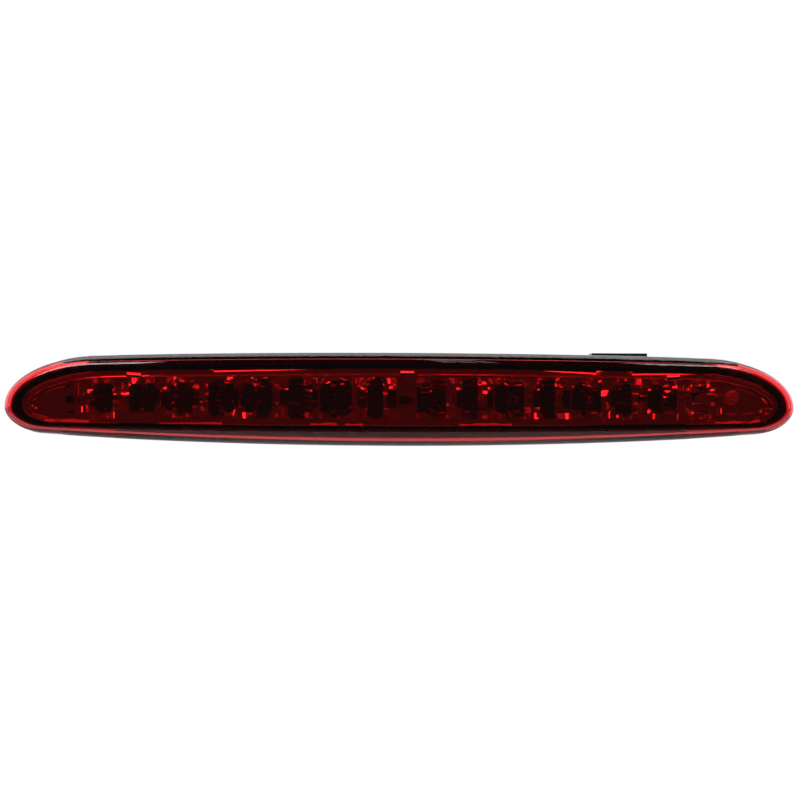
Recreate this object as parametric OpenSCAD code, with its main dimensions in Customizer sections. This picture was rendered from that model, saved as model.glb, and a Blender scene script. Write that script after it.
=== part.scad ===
// High-mounted third brake light. Origin on the mounting plane, midway between the studs.
// X runs along the lamp, Z is up, and the lens faces -Y.

/* [Lamp body] */
// Overall width of the lens
lamp_w = 380; // [360:1:400]
// Height of the lens above the centre line, at mid-length
lens_top = 21.6; // [20:0.1:22]
// Height of the lens below the centre line, at mid-length
lens_bottom = 21.8; // [20:0.1:22]
// Height of the two end tips, from the centre line
nose_z = -3.5; // [-6:0.1:0]
// Radius of the gentle crown of the upper edge
top_crown_r = 7000; // [6000:500:16000]
// Radius of the gentle crown of the lower edge
bottom_crown_r = 2740; // [2500:20:5000]
// Length of each sloping upper corner
upper_corner = 40; // [34:1:48]
// Length of each lower corner
lower_corner = 18; // [16:1:24]

/* [Outer lens] */
// Distance of the front face from the mounting plane, at mid-length
lens_depth = 34; // [33:0.5:38]
// Plan radius that sweeps the ends of the front face back
face_r = 1800; // [1500:50:3000]
// Radius of the slight upright crown of the front face
crown_r = 220; // [160:10:600]
// Wall thickness of the lens
lens_wall = 2.4; // [2:0.1:2.8]
// Rounding of the lens's front edge, along the top
edge_r = 4.2; // [3.4:0.1:5]
// Rounding of the lens's front edge, along the bottom
low_edge_r = 9.4; // [5:0.1:9.6]
// Draft of the skirt, from its foot to the front edge
skirt_draft = 0.4; // [0.3:0.1:0.8]

/* [Rear housing] */
// Thickness of the housing's walls
shell_wall = 2; // [1.8:0.1:2.4]
// Thickness of the foam gasket on the mounting plane
gasket_t = 3; // [2.5:0.1:3.5]
// Step of the side wall in from the flange's edge
wall_step = 3.6; // [3.2:0.1:4]

// Height of the housing's lip above the lens, at mid-length
lip_top = 0.5; // [0.4:0.1:1]
// Height of the housing's lip below the lens, at mid-length
lip_low = 0.4; // [0.4:0.1:1]

/* [Light unit] */
// Number of LEDs in the row
led_count = 16; // [12:2:16]
// Distance between neighbouring LEDs
led_pitch = 18.6; // [18:0.1:18.6]
// Gap between the two middle LEDs, in pitches
middle_gap = 1.5; // [1.4:0.1:1.5]
// Height of the LED row
led_z = 0.6; // [0:0.1:1]
// Height of the cells
cell_h = 19.4; // [18:0.1:19.6]
// Columns of flutes in the clear plate for each LED
flutes_per_led = 2.5; // [2:0.5:3]

/* [Fixings] */
// Distance between the two studs
stud_gap = 180; // [160:10:200]
// Radius of each stud
stud_r = 2.5; // [2.5:0.1:2.5]
// Length of each stud behind the mounting plane
stud_len = 16; // [12:1:18]
// Distance between the two spring clips
clip_gap = 300; // [290:1:304]

/* [Hidden] */
eps = 0.01;
half_w = lamp_w / 2;
straight_n = 10;      // outline steps along each half of the upper and lower edges
corner_n = 14;        // outline steps round each corner
round_n = 5;          // rings round the lens's front edge

// Levels in Y, from the mounting plane forwards
back_y = -gasket_t;                   // back face of the housing
inside_y = back_y - shell_wall;       // inner face of the housing's back wall
flange_back_y = -11;
flange_front_y = -13;
foot_y = -13.1;                       // end of the lens skirt
rib_front_y = -16.4;                  // front of the housing's locating rib
board_back_y = -8;
board_t = 1.6;
board_front_y = board_back_y - board_t;
led_base_h = 2.8;
unit_back_y = -12.6;                  // back face of the reflector
pocket_floor_y = -17;                 // floor of the reflector's end pockets
pocket_wall = 1.4;
rim_gap = 1.1;                        // lens inner face to the front of the reflector's rim
optic_gap = 2.2;                      // lens inner face to the clear plate
optic_t = 1.5;
flute_h = 0.5;
rim_y = -lens_depth + lens_wall + rim_gap;
seat_y = -lens_depth + lens_wall + optic_gap + optic_t + flute_h;
optic_back_y = seat_y - 0.02;         // the plate rests just clear of its seat

// Rib inside the lens
rib_x = -145;
lens_rib_t = 1;
rib_low_z = 14;
rib_top_z = 18.3;

// Housing
lip_fade_x = 165;                     // the lip thins to nothing at this distance from the middle
lip_clear = 0.05;                     // gap between the lens's skirt and the lip
lip_step = 0.05;                      // the flange stands this far past the lip
lip_root = 0.5;                       // the lip reaches this far into the flange
lip_land = 0.05;                      // flat on the lip's front edge
lip_ahead = 0.3;                      // the lip reaches this far past the start of the lens's rounding
flange_end_x = 163;                   // beyond this the flange steps in, so the lens's foot is free
flange_end_in = 1.9;
rib_in = lens_wall + 0.9;
bead_in = lens_wall + 0.32;           // outer side of the sealing bead, clear of the lens's draft
bead_front_y = -15.8;
rib_t = 1.4;
cavity_in = wall_step + shell_wall;
tongue_x = 105.5;
tongue_w = 27.5;
tongue_h = 1.1;

// Reflector window and rims
win_half = 180;
win_top = 13.3;
win_bottom = 11.3;
win_top_r = 7000;
win_bottom_r = 9000;
win_corner = 40;
win_low_corner = 14;
rim_t = 1.2;
ledge_w = 2.9;
tab_gap = 128.5;
tab_w = 6.8;
tab_h = 3.2;
tab_t = 0.8;
cell_wall = 0.7;
group = led_count / 2;                // LEDs on each side of the middle
row_half = led_pitch * (middle_gap / 2 + group - 0.5);
blank_half = led_pitch * (middle_gap - 1) / 2;   // blank column in the middle
bowl_hole_r = 3.3;
bowl_k = 7;                           // four times the bowl's focal length
bowl_depth = 18;
row_end_wall = 1.2;
unit_wall = 1.3;

// Fixing points of the light unit
screw_x = 159.2;
screw_z = 2;
peg_z = -0.2;
boss_r = 4;
peg_r = 2;
peg_len = 3;
board_w = 2 * row_half;
board_h = 17;
board_screws_x = [for (s = [-1, 1]) for (k = [4, 7]) s * led_pitch * (middle_gap / 2 + k - 0.5)];
board_hole_r = 4.6;                   // the middle post passes through the board
board_boss_r = 3;
pillar_x = led_pitch * 4;
pillar_r = 2;

// Socket
socket_x = led_pitch * (middle_gap / 2 + 1.5);
socket_w = 18;
socket_h = 12;
socket_wall = 1.5;
socket_end_y = 16;
socket_base_y = 0.6;                  // face of the base inside the socket
socket_flange_t = 1.6;
socket_flange_grow = 3;
seal_t = 1;
pin_gap = 5.08;
pin_t = 0.8;
pin_h = 2.8;
pin_end_y = 10.5;

// Studs and clips
collar_r = 6;
stud_shoulder_r = 3.2;               // the moulded-in stretch, up to the mounting plane
stud_head_r = 4.8;
stud_head_t = 1.6;
stud_head_y = -4.6;                   // back face of the embedded head
stud_boss_front_y = -7.4;
clip_y = 9;                           // axis of the clip pins
clip_pin_r = 1.5;
clip_bore_r = 1.6;
clip_eye_r = 2.6;
clip_w = 8;
clip_t = 0.9;
clip_len = 10.6;
clip_rest = 45;                       // slope of the free clip from the way in
cheek_t = 2;
cheek_gap = 8.6;
cheek_h = 7;
vent_x = -2 * led_pitch;
vent_hole_r = 2.5;
vent_r = 6;

// ---- outline functions -------------------------------------------------

// Height of an edge at x, between the crown line and the tip
function blend(base, tip, c) = tip + (base - tip) * c;

// Right half of the outline, counter-clockwise from the bottom centre to the top centre.
function right_half(half, top, bottom, tip, top_r, low_r, up_c, low_c) = concat(
    [for (i = [0:straight_n]) let (x = (half - low_c) * i / straight_n)
        [x, -bottom + x * x / (2 * low_r)]],
    [for (j = [1:corner_n]) let (a = 90 * j / corner_n, x = half - low_c + low_c * sin(a))
        [x, blend(-bottom + x * x / (2 * low_r), tip, cos(a))]],
    [for (j = [corner_n - 1:-1:0]) let (a = 90 * j / corner_n, x = half - up_c + up_c * sin(a))
        [x, blend(top - x * x / (2 * top_r), tip, cos(a))]],
    [for (i = [straight_n - 1:-1:0]) let (x = (half - up_c) * i / straight_n)
        [x, top - x * x / (2 * top_r)]]);

// Whole outline: the right half and its mirror image.
function both_halves(pts) = concat(pts, [for (i = [len(pts) - 2:-1:1]) [-pts[i][0], pts[i][1]]]);

// Outline of the lens foot, moved in by d on every side.
function lamp_outline(d) = both_halves(right_half(
    half_w - d, lens_top - d, lens_bottom - d, nose_z, top_crown_r, bottom_crown_r,
    upper_corner - d * 0.8, max(lower_corner - d * 0.8, 2)));

// Rise of the housing's lip past the lens foot at outline point p, thinning towards the ends.
function lip_rise(p) = (p[1] > nose_z ? lip_top : -lip_low) * max(0, 1 - pow(abs(p[0]) / lip_fade_x, 10));

// Outline of the flange and of the lip's outer side.
function lip_outline() = [for (p = lamp_outline(0)) [p[0], p[1] + lip_rise(p)]];

// Outline of the reflector window, moved in by d on every side.
function window_outline(d) = both_halves(right_half(
    win_half - d, win_top - d, win_bottom - d, nose_z + 1, win_top_r, win_bottom_r,
    win_corner - d * 0.6, max(win_low_corner - d * 0.6, 2)));

// Front face of the lens: swept back towards the ends and crowned upright.
function face_y(x, z) = -lens_depth + x * x / (2 * face_r) + z * z / (2 * crown_r);

// Sweep of the light unit's front, parallel to the lens in plan.
function sweep_y(x) = x * x / (2 * face_r);

// ---- shared modules ----------------------------------------------------

// Extrudes an X-Z outline from y0 forwards to y1 (y1 < y0).
module slab(pts, y0, y1) {
    translate([0, y0, 0]) rotate([90, 0, 0]) linear_extrude(height = y0 - y1) polygon(pts);
}

// Ring between two outlines.
module band(outer, inner, y0, y1) {
    difference() {
        slab(outer, y0, y1);
        slab(inner, y0 + 1, y1 - 1);
    }
}

// Round bar along Y, from y0 forwards to y1.
module bar_y(r, y0, y1, x = 0, z = 0, fn = 48) {
    translate([x, y0, z]) rotate([90, 0, 0]) cylinder(r = r, h = y0 - y1, $fn = fn);
}

// Block between two corners.
module block(lo, hi) {
    translate(lo) cube(hi - lo);
}

// Everything behind a swept front that stands y0 in front of the mounting plane at mid-length.
module behind_sweep(y0, height = 60) {
    steps = 40;
    span = 2 * half_w;
    front = [for (i = [0:steps]) let (x = -span / 2 + span * i / steps) [x, y0 + sweep_y(x)]];
    translate([0, 0, -height / 2]) linear_extrude(height = height)
        polygon(concat(front, [[span / 2, 10], [-span / 2, 10]]));
}

// ---- outer lens --------------------------------------------------------

// Rounding at outline point i. Along the bottom the front face ends in a straight line, so the
// rounding narrows towards the ends as the outline rises.
function edge_radius(i) = let (m = straight_n + corner_n, k = i <= 2 * m ? i : 4 * m - i,
    x = (half_w - lower_corner) * min(k / straight_n, 1))
    k < m ? max(edge_r, low_edge_r - x * x / (2 * bottom_crown_r)) : edge_r;

// A point of the front face over outline point p, set back by b.
function on_face(p, b) = [p[0], face_y(p[0], p[1]) + b, p[1]];

// Outline point i of the ring a fraction t of the way in to the middle line of ring pts.
function drawn_in(pts, i, t) = let (n = len(pts), q = pts[(n / 2 - i + n) % n])
    pts[i] + (q - pts[i]) * t / 2;

// Rings from the foot, round the front edge and in towards the middle.
function skin(inset, depth) = let (n = 4 * (straight_n + corner_n), start = lamp_outline(14)) concat(
    [[for (p = lamp_outline(inset)) [p[0], foot_y, p[1]]]],
    [for (k = [0:round_n]) let (a = 90 * k / round_n)
        [for (i = [0:n - 1]) let (r = edge_radius(i) - depth)
            on_face(lamp_outline(inset + skirt_draft + r * (1 - cos(a)))[i], depth + r * (1 - sin(a)))]],
    [for (t = [0, 0.85]) [for (i = [0:n - 1]) on_face(drawn_in(start, i, t), depth)]]);

// Triangles between consecutive rings of n points; rings count from ring index base.
function ring_faces(n, count, base, flip) = [for (k = [0:count - 2]) for (i = [0:n - 1])
    let (a = (base + k) * n + i, b = (base + k) * n + (i + 1) % n, c = a + n, d = b + n)
    each (flip ? [[a, c, b], [b, c, d]] : [[a, b, c], [b, d, c]])];

// Closes the innermost ring with a strip between its lower and its upper half.
function cap_faces(n, m, ring, flip) = [for (s = [0, 1]) for (k = [0:m - 1])
    let (a0 = s == 0 ? k : (n - k) % n,
         a1 = s == 0 ? k + 1 : n - k - 1,
         b0 = s == 0 ? 2 * m - k : 2 * m + k,
         b1 = s == 0 ? 2 * m - k - 1 : 2 * m + k + 1,
         o = ring * n,
         turn = flip ? s == 0 : s == 1)
    each (k == m - 1 ? [turn ? [o + a0, o + b0, o + a1] : [o + a0, o + a1, o + b0]]
        : turn ? [[o + a0, o + b0, o + a1], [o + a1, o + b0, o + b1]]
        : [[o + a0, o + a1, o + b0], [o + a1, o + b1, o + b0]])];

module lens_shell() {
    outer = skin(0, 0);
    inner = skin(lens_wall, lens_wall);
    n = len(outer[0]);
    m = straight_n + corner_n;
    count = len(outer);
    pts = [for (ring = concat(outer, inner)) each ring];
    foot = [for (i = [0:n - 1]) let (j = (i + 1) % n, q = count * n)
        each [[i, q + i, j], [j, q + i, q + j]]];
    polyhedron(points = pts, convexity = 6, faces = concat(
        ring_faces(n, count, 0, false),
        cap_faces(n, m, count - 1, false),
        ring_faces(n, count, count, true),
        cap_faces(n, m, 2 * count - 1, true),
        foot));
}

// Short upright rib inside the upper edge, near the left end.
module lens_rib() {
    y = face_y(rib_x, rib_top_z) + lens_wall - 0.8;
    block([rib_x - lens_rib_t / 2, y, rib_low_z], [rib_x + lens_rib_t / 2, rib_front_y - 0.4, rib_top_z]);
}

module outer_lens() {
    color("firebrick") union() {
        lens_shell();
        lens_rib();
    }
}

module lens_sealant() {
    color("dimgray") band(lamp_outline(bead_in), lamp_outline(rib_in - 0.02), flange_front_y, bead_front_y);
}

// ---- rear housing ------------------------------------------------------

// One cheek pair that carries a clip pin.
module clip_bracket(x) {
    for (s = [-1, 1]) {
        difference() {
            block([x + s * (cheek_gap + cheek_t) / 2 - cheek_t / 2, back_y - eps, -cheek_h / 2],
                  [x + s * (cheek_gap + cheek_t) / 2 + cheek_t / 2, clip_y + 3.5, cheek_h / 2]);
            pin_bar(x);
        }
    }
}

module pin_bar(x) {
    length = cheek_gap + 2 * cheek_t;
    translate([x - length / 2, clip_y, 0]) rotate([0, 90, 0]) cylinder(r = clip_pin_r, h = length, $fn = 48);
}

// Section of the lip at outline point i: up the lens's skirt, with a rounded outer front edge.
function lip_section(i) = let (n = 4 * (straight_n + corner_n), k = (i + n) % n,
    p = lamp_outline(0)[k], rise = lip_rise(p), s = sign(rise), t = abs(rise) - lip_step,
    r = t - lip_clear - lip_land,
    front = on_face(lamp_outline(skirt_draft)[k], edge_radius(k))[1] - lip_ahead,
    at = function(o, y) [p[0], y, p[1] + s * o])
    concat([at(lip_clear, flange_front_y + lip_root), at(t, flange_front_y + lip_root)],
        [for (a = [0:22.5:90]) at(t - r * (1 - cos(a)), front + r * (1 - sin(a)))],
        [at(lip_clear, front)]);

// Lip of the housing along the lens's skirt, reaching some outline points either side of point mid.
module housing_lip(mid, reach) {
    sections = [for (i = [-reach:reach]) lip_section(mid + i)];
    m = len(sections[0]);
    last = (len(sections) - 1) * m;
    sides = [for (k = [0:len(sections) - 2]) for (j = [0:m - 1])
        let (a = k * m + j, b = k * m + (j + 1) % m)
        each [[a, b, a + m], [b, b + m, a + m]]];
    caps = [for (j = [1:m - 2]) each [[0, j + 1, j], [last, last + j, last + j + 1]]];
    polyhedron(points = [for (section = sections) each section], faces = concat(sides, caps), convexity = 4);
}

module housing_shell() {
    difference() {
        union() {
            slab(lamp_outline(wall_step), back_y, flange_back_y - eps);
            slab(lamp_outline(flange_end_in), flange_back_y, flange_front_y);
            intersection() {
                slab(lip_outline(), flange_back_y, flange_front_y);
                block([-flange_end_x, flange_front_y - 1, -40], [flange_end_x, flange_back_y + 1, 40]);
            }
            slab(lamp_outline(rib_in), flange_front_y + eps, rib_front_y);
            housing_lip(0, straight_n - 2);
            housing_lip(2 * (straight_n + corner_n), straight_n);
        }
        slab(lamp_outline(cavity_in), inside_y, flange_front_y - eps);
        slab(lamp_outline(rib_in + rib_t), flange_front_y, rib_front_y - 1);
    }
}

module stud_shape(x) {
    bar_y(stud_r, stud_len, -eps, x, 0);
    bar_y(stud_shoulder_r, 0, stud_head_y, x, 0);
    bar_y(stud_head_r, stud_head_y, stud_head_y - stud_head_t, x, 0);
}

module rear_housing() {
    color([0.09, 0.09, 0.1]) difference() {
        union() {
            housing_shell();
            // collars and inner bosses round the studs
            for (s = [-1, 1]) bar_y(collar_r, 0, stud_boss_front_y, s * stud_gap / 2);
            for (s = [-1, 1]) clip_bracket(s * clip_gap / 2);
            // seat of the reflector screw, and the posts with locating pegs
            bar_y(boss_r, inside_y + eps, pocket_floor_y + pocket_wall, screw_x, screw_z);
            for (x = [-screw_x, 0]) {
                bar_y(boss_r, inside_y + eps, pocket_floor_y + pocket_wall, x, peg_z);
                bar_y(peg_r, inside_y, pocket_floor_y - peg_len, x, peg_z);
            }
            // seats of the circuit board and of the reflector
            for (x = board_screws_x) bar_y(board_boss_r, inside_y + eps, board_back_y, x, led_z);
            for (s = [-1, 1]) for (z = [win_top - 0.2, -win_bottom])
                bar_y(pillar_r, inside_y + eps, unit_back_y, s * pillar_x, z, 32);
            // tongue above the upper edge
            block([tongue_x - tongue_w / 2, flange_front_y + 1, lens_top - 3],
                  [tongue_x + tongue_w / 2, back_y - 1, lens_top + lip_top + tongue_h]);
        }
        for (s = [-1, 1]) stud_shape(s * stud_gap / 2);
        block([socket_x - socket_w / 2, inside_y - 1, -socket_h / 2],
              [socket_x + socket_w / 2, back_y + 1, socket_h / 2]);
        bar_y(vent_hole_r, back_y + 1, inside_y - 1, vent_x);
        screw_bar(screw_x, screw_z, pocket_floor_y, 9, 1.6);
        for (x = board_screws_x) screw_bar(x, led_z, board_front_y, 3.9, 1.3);
    }
}

// Shank of a screw whose head rests at y0, running back for a length.
module screw_bar(x, z, y0, length, r) {
    bar_y(r, y0 + length, y0, x, z, 32);
}

// ---- light unit --------------------------------------------------------

// Bowl of revolution about the LED's axis, opening forwards, with its wall grown by t.
module bowl(t) {
    steps = 7;
    r_end = sqrt(bowl_k * bowl_depth + bowl_hole_r * bowl_hole_r);
    curve = [for (i = [0:steps]) let (r = bowl_hole_r + (r_end - bowl_hole_r) * i / steps)
        [r + t, (r * r - bowl_hole_r * bowl_hole_r) / bowl_k - t / 2]];
    rotate([90, 0, 0]) rotate_extrude($fn = 48)
        polygon(concat([[0, -3], [bowl_hole_r + t, -3]], curve, [[0, bowl_depth - t / 2]]));
}

// Places of the LEDs: two equal groups either side of the middle
function led_x(i) = let (s = i < group ? -1 : 1, k = i < group ? group - 1 - i : i - group)
    s * led_pitch * (middle_gap / 2 + k);

// Bowls of all the LEDs
module bowls(t) {
    for (i = [0:led_count - 1]) translate([led_x(i), unit_back_y - 0.6, led_z]) bowl(t);
}

// The open space of each cell: its bowl within its four flat walls
module cells() {
    intersection() {
        bowls(0);
        for (i = [0:led_count - 1])
            block([led_x(i) - (led_pitch - cell_wall) / 2, -40, led_z - cell_h / 2],
                  [led_x(i) + (led_pitch - cell_wall) / 2, 0, led_z + cell_h / 2]);
    }
}

// Space behind the bowls, between them and the outer wall
module rear_hollow() {
    difference() {
        intersection() {
            slab(window_outline(0.3), 0, -lens_depth);
            behind_sweep(seat_y + unit_wall);
            block([-row_half, -lens_depth, -40], [row_half, 0, 40]);
        }
        intersection() {
            bowls(unit_wall);
            block([-row_half, -lens_depth, led_z - cell_h / 2 - unit_wall],
                  [row_half, 0, led_z + cell_h / 2 + unit_wall]);
        }
        for (s = [-1, 1]) for (k = [0:group - 1]) web(s * (blank_half + k * led_pitch));
        block([-blank_half, -lens_depth, -40], [blank_half, pocket_floor_y + pocket_wall, 40]);
    }
}

// Upright web between two cells
module web(x) {
    block([x - unit_wall / 2, -lens_depth, -40], [x + unit_wall / 2, unit_back_y - 2, 40]);
}

module reflector() {
    color("gainsboro") difference() {
        intersection() {
            slab(window_outline(-rim_t), unit_back_y, -lens_depth);
            behind_sweep(rim_y);
        }
        cells();
        rear_hollow();
        // window down to the seat of the clear plate
        difference() {
            slab(window_outline(0), unit_back_y, -lens_depth - 1);
            behind_sweep(seat_y);
            for (k = [-1, 0, 1]) tab(k * tab_gap);
        }
        // blank column in the middle, end pockets, and the hollows behind the end pockets' floors
        block([-blank_half + cell_wall, -lens_depth, led_z - cell_h / 2],
              [blank_half - cell_wall, pocket_floor_y, led_z + cell_h / 2]);
        for (s = [-1, 1]) {
            intersection() {
                slab(window_outline(ledge_w), pocket_floor_y, -lens_depth);
                side_block(s, row_half + row_end_wall, -50, 0);
            }
            intersection() {
                slab(window_outline(-rim_t - 1), 0, pocket_floor_y + pocket_wall);
                side_block(s, row_half + row_end_wall, pocket_floor_y + pocket_wall, 0);
            }
        }
        screw_bar(screw_x, screw_z, pocket_floor_y - 1, 9, 1.8);
        for (x = [-screw_x, 0]) bar_y(peg_r + 0.2, 0, pocket_floor_y - 1, x, peg_z);
    }
}

// Half space beyond |x| = x0 on side s, between two Y levels.
module side_block(s, x0, y_front, y_back) {
    block([s > 0 ? x0 : -half_w - 5, y_front, -40], [s > 0 ? half_w + 5 : -x0, y_back, 40]);
}

// Snap tab that hooks over the front of the clear plate.
module tab(x) {
    z_top = win_top + 0.4 - x * x / (2 * win_top_r);
    y = rim_y + sweep_y(x);
    block([x - tab_w / 2, y - 2, z_top - tab_h], [x + tab_w / 2, y + tab_t, z_top]);
}

// Clear plate with upright flutes on its front.
module inner_optic() {
    columns = round(2 * row_half / led_pitch * flutes_per_led);
    pitch = 2 * row_half / columns;
    steps = 4;
    front = [for (c = [0:columns - 1]) for (i = [0:steps - 1])
        let (u = i / steps, x = -row_half + (c + u) * pitch)
        [x, optic_back_y - optic_t + sweep_y(x) - flute_h * 4 * u * (1 - u)]];
    back = [for (i = [0:30]) let (x = row_half - 2 * row_half * i / 30) [x, optic_back_y + sweep_y(x)]];
    edge = optic_back_y - optic_t + sweep_y(row_half);
    color([0.9, 0.92, 0.95, 0.5]) intersection() {
        translate([0, 0, -40]) linear_extrude(height = 80) polygon(concat(front, [[row_half, edge]], back));
        slab(window_outline(0.4), 0, -lens_depth);
    }
}

module led_board() {
    color("darkgreen") difference() {
        block([-board_w / 2, board_front_y, led_z - board_h / 2], [board_w / 2, board_back_y, led_z + board_h / 2]);
        for (x = board_screws_x) bar_y(1.6, 0, -20, x, led_z, 32);
        bar_y(board_hole_r, 0, -20, 0, peg_z, 48);
        for (s = [-1, 1]) pin_bar_y(socket_x + s * pin_gap / 2);
    }
}

// One LED: square base and round dome.
module led(x) {
    block([x - 3.8, board_front_y - led_base_h, led_z - 3.8], [x + 3.8, board_front_y, led_z + 3.8]);
    translate([x, board_front_y - led_base_h + eps, led_z]) rotate([90, 0, 0]) rotate_extrude($fn = 32)
        polygon([[0, 0], [2.5, 0], [2.5, 0.6], for (a = [0:15:90]) [2.5 * cos(a), 0.6 + 2.5 * sin(a)]]);
}

module leds() {
    color("ivory") for (i = [0:led_count - 1]) led(led_x(i));
}

module series_resistors() {
    w = 6.3;
    h = 3.2;
    t = 0.7;
    color([0.15, 0.15, 0.16]) for (k = [-1.5:1:1.5])
        block([k * 4 * led_pitch - w / 2, board_front_y - t, led_z - board_h / 2 + 0.8],
              [k * 4 * led_pitch + w / 2, board_front_y, led_z - board_h / 2 + 0.8 + h]);
}

module protection_diode() {
    color([0.12, 0.12, 0.13])
        block([socket_x - led_pitch - 2.3, board_front_y - 2.2, led_z - board_h / 2 + 0.8],
              [socket_x - led_pitch + 2.3, board_front_y, led_z - board_h / 2 + 3.4]);
}

module suppression_capacitor() {
    color("tan")
        block([socket_x + led_pitch - 2.3, board_front_y - 2, led_z - board_h / 2 + 0.8],
              [socket_x + led_pitch + 2.3, board_front_y, led_z - board_h / 2 + 4]);
}

// Pan-head screw along Y with its head's seat at y0.
module pan_screw(x, z, y0, head_r, head_t, r, length, slot_w) {
    difference() {
        union() {
            screw_bar(x, z, y0, length, r);
            translate([x, y0, z]) rotate([90, 0, 0]) rotate_extrude($fn = 48)
                polygon([[0, 0], [head_r, 0], [head_r, head_t * 0.35], [head_r * 0.93, head_t * 0.65],
                         [head_r * 0.76, head_t * 0.88], [head_r * 0.5, head_t], [0, head_t]]);
        }
        if (slot_w > 0) translate([x, y0 - head_t, z]) rotate([0, -35, 0])
            cube([2 * head_r + 1, head_t, slot_w], center = true);
    }
}

module board_screws() {
    color("silver") for (x = board_screws_x)
        pan_screw(x, led_z, board_front_y, 2.7, 1.9, 1.3, 3.9, 0.7);
}

module reflector_screw() {
    color("silver") pan_screw(screw_x, screw_z, pocket_floor_y, 4, 2.4, 1.6, 8, 1);
}

// ---- socket ------------------------------------------------------------

module pin_bar_y(x) {
    block([x - pin_t / 2, board_front_y - 0.8, -pin_h / 2], [x + pin_t / 2, pin_end_y, pin_h / 2]);
}

module terminal_pins() {
    color("khaki") for (s = [-1, 1]) pin_bar_y(socket_x + s * pin_gap / 2);
}

module connector_socket() {
    w = socket_w / 2;
    h = socket_h / 2;
    g = socket_flange_grow;
    flange_front = back_y + seal_t;
    color([0.16, 0.16, 0.17]) difference() {
        union() {
            block([socket_x - w, inside_y, -h], [socket_x + w, socket_end_y, h]);
            block([socket_x - w - g, flange_front, -h - g], [socket_x + w + g, flange_front + socket_flange_t, h + g]);
            // ramp for the plug's latch
            translate([socket_x - 2.5, 0, h - eps]) rotate([90, 0, 90]) linear_extrude(height = 5)
                polygon([[4, 0], [socket_end_y - 2, 0], [6, 1.4], [4, 1.4]]);
        }
        block([socket_x - w + socket_wall, socket_base_y, -h + socket_wall],
              [socket_x + w - socket_wall, socket_end_y + 1, h - socket_wall]);
        for (s = [-1, 1]) pin_bar_y(socket_x + s * pin_gap / 2);
    }
}

module socket_seal() {
    w = socket_w / 2;
    h = socket_h / 2;
    g = socket_flange_grow - 0.5;
    color([0.2, 0.2, 0.22]) difference() {
        block([socket_x - w - g, back_y, -h - g], [socket_x + w + g, back_y + seal_t, h + g]);
        block([socket_x - w, back_y - 1, -h], [socket_x + w, back_y + seal_t + 1, h]);
    }
}

// ---- mounting side -----------------------------------------------------

module perimeter_gasket() {
    color([0.13, 0.13, 0.14]) band(lamp_outline(wall_step + 0.6), lamp_outline(wall_step + 7), 0, back_y);
}

module mounting_studs() {
    color("silver") for (s = [-1, 1]) stud_shape(s * stud_gap / 2);
}

module stud_seals() {
    color([0.13, 0.13, 0.14]) for (s = [-1, 1]) difference() {
        bar_y(collar_r + 3, 0, back_y, s * stud_gap / 2);
        bar_y(collar_r, 1, back_y - 1, s * stud_gap / 2);
    }
}

module clip_pins() {
    color("silver") for (s = [-1, 1]) pin_bar(s * clip_gap / 2);
}

// Bent leaf with a curled eye round its pin and a turned toe.
module spring_clip(x) {
    translate([x - clip_w / 2, clip_y, 0]) rotate([0, 90, 0]) rotate([0, 0, 90]) linear_extrude(height = clip_w)
        difference() {
            union() {
                circle(r = clip_eye_r, $fn = 48);
                rotate(180 - clip_rest) {
                    translate([0, clip_eye_r - clip_t]) square([clip_len, clip_t]);
                    translate([clip_len - clip_t, clip_eye_r - clip_t - 1.6]) square([clip_t, 2]);
                }
            }
            circle(r = clip_bore_r, $fn = 48);
        }
}

module spring_clip_left() {
    color("lightsteelblue") spring_clip(-clip_gap / 2);
}

module spring_clip_right() {
    color("lightsteelblue") spring_clip(clip_gap / 2);
}

module vent_membrane() {
    color("white") bar_y(vent_r - 1, back_y + 0.3, back_y, vent_x);
}

module vent_cap() {
    color([0.2, 0.2, 0.22]) difference() {
        bar_y(vent_r, back_y + 2.2, back_y, vent_x);
        bar_y(vent_r - 1, back_y + 1.2, back_y - 1, vent_x);
        for (a = [0:90:270]) translate([vent_x, back_y + 0.9, 0]) rotate([0, a, 0])
            block([vent_r - 2, -0.3, -0.8], [vent_r + 1, 0.3, 0.8]);
    }
}

outer_lens();
lens_sealant();
rear_housing();
reflector();
inner_optic();
led_board();
leds();
series_resistors();
protection_diode();
suppression_capacitor();
board_screws();
reflector_screw();
terminal_pins();
connector_socket();
socket_seal();
perimeter_gasket();
mounting_studs();
stud_seals();
clip_pins();
spring_clip_left();
spring_clip_right();
vent_membrane();
vent_cap();
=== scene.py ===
"""High-mounted third brake light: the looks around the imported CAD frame.

Lengths in the shape functions are in millimetres and become metres in add_mesh().
"""
import functools
import math
import bmesh
import bpy
from mathutils import Matrix, Vector


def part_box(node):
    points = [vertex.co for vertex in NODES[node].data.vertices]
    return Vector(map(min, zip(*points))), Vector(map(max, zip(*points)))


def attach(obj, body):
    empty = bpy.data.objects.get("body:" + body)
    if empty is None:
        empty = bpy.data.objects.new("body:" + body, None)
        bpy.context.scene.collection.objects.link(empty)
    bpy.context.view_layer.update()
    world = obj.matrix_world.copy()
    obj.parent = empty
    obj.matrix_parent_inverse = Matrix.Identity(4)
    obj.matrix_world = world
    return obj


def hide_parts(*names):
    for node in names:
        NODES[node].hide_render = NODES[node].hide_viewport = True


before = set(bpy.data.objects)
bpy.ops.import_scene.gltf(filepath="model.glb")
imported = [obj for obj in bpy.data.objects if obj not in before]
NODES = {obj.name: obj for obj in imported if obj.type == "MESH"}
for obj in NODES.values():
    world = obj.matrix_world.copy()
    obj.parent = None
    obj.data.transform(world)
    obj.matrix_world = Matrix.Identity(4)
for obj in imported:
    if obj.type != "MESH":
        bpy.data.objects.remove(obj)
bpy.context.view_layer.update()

MM = 0.001


# ---- places taken from the frame, in millimetres -----------------------------------------------

def corners(node):
    low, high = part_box(node)
    return low / MM, high / MM


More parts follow.
